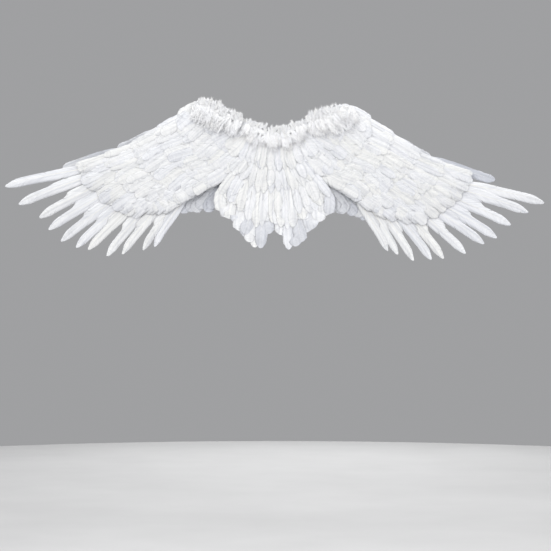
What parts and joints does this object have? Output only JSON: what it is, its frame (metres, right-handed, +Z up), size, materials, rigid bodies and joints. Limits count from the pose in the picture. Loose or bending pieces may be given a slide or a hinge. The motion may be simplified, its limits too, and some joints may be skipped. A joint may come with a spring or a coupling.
{
  "type": "angel wings",
  "caption": "Pair of spread costume angel wings: overlapping rows of feathers, long feathers at the tips, down along the top edge, a back panel and elastic arm loops.",
  "frame": {"origin": "on the rear face of the back panel, midway between the wings, where the wings sit on the wearer's upper back between the shoulder blades", "axes": "+X to the right as seen from behind the wearer, +Z up along the wearer's spine, +Y towards the wearer, so the feathered face looks towards -Y; the rear face of the back panel lies in Y = 0"},
  "size_m": [1.5888, 0.3281, 0.4941],
  "materials": {
    "white_feather": "soft matt feather",
    "under_feather": "thin matt feather",
    "down": "fluffy down",
    "felt": "matt felt",
    "elastic": "woven elastic tape"
  },
  "bodies": {
    "root": {"back_panel": "felt", "back_row_1": "white_feather", "back_row_2": "white_feather", "back_row_3": "white_feather", "back_row_4": "white_feather", "neck_down": "down", "wing_base_left": "felt", "primary_left_1": "white_feather", "primary_left_2": "white_feather", "primary_left_3": "white_feather", "primary_left_4": "white_feather", "primary_left_5": "white_feather", "primary_left_6": "white_feather", "primary_left_7": "white_feather", "primary_left_8": "white_feather", "primary_left_9": "white_feather", "primary_left_10": "white_feather", "primary_left_11": "white_feather", "coverts_left_1": "white_feather", "coverts_left_2": "white_feather", "coverts_left_3": "white_feather", "coverts_left_4": "white_feather", "coverts_left_5": "white_feather", "coverts_left_6": "white_feather", "under_row_left_1": "under_feather", "under_row_left_2": "under_feather", "trailing_row_left": "under_feather", "down_trim_left": "down", "arm_loop_left": "elastic", "wing_base_right": "felt", "primary_right_1": "white_feather", "primary_right_2": "white_feather", "primary_right_3": "white_feather", "primary_right_4": "white_feather", "primary_right_5": "white_feather", "primary_right_6": "white_feather", "primary_right_7": "white_feather", "primary_right_8": "white_feather", "primary_right_9": "white_feather", "primary_right_10": "white_feather", "primary_right_11": "white_feather", "coverts_right_1": "white_feather", "coverts_right_2": "white_feather", "coverts_right_3": "white_feather", "coverts_right_4": "white_feather", "coverts_right_5": "white_feather", "coverts_right_6": "white_feather", "under_row_right_1": "under_feather", "under_row_right_2": "under_feather", "trailing_row_right": "under_feather", "down_trim_right": "down", "arm_loop_right": "elastic"}
  },
  "joints": []
}
